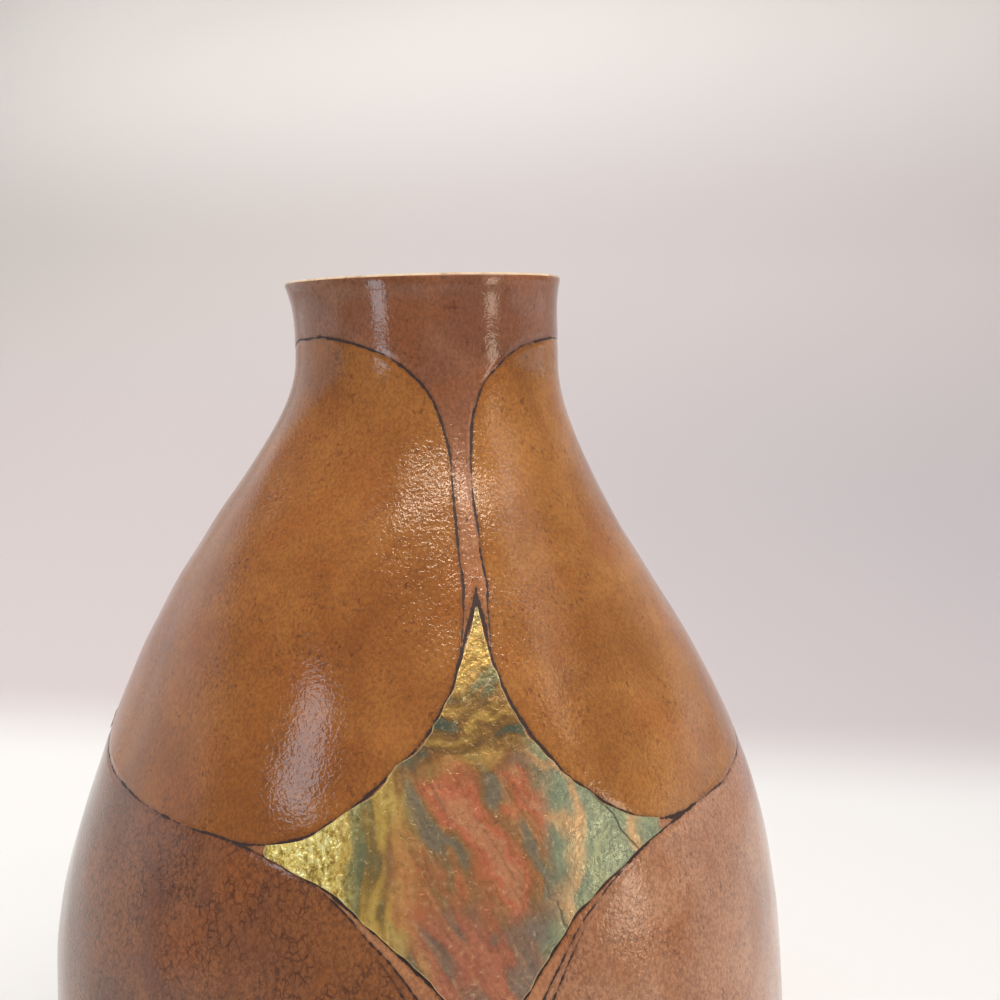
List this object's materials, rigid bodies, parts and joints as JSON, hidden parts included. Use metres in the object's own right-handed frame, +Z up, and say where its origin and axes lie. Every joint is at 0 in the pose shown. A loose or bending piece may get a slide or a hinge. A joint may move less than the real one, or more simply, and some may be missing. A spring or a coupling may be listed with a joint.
{
  "type": "gourd vase",
  "caption": "Pear-shaped vase made of a hollow dried gourd with a short flared neck, a flat sanded base and four-pointed stars of metal leaf on its shoulder.",
  "frame": {"origin": "middle of the flat base that the vase stands on", "axes": "+Z up along the gourd's axis, and the first leaf star faces -Y"},
  "size_m": [0.141, 0.141, 0.1892],
  "materials": {
    "gourd_skin": "dyed brown under a satin varnish",
    "metal_leaf": "variegated metal leaf under varnish"
  },
  "bodies": {
    "root": {"gourd_shell": "gourd_skin", "leaf_star_1": "metal_leaf", "leaf_star_2": "metal_leaf", "leaf_star_3": "metal_leaf"}
  },
  "joints": []
}
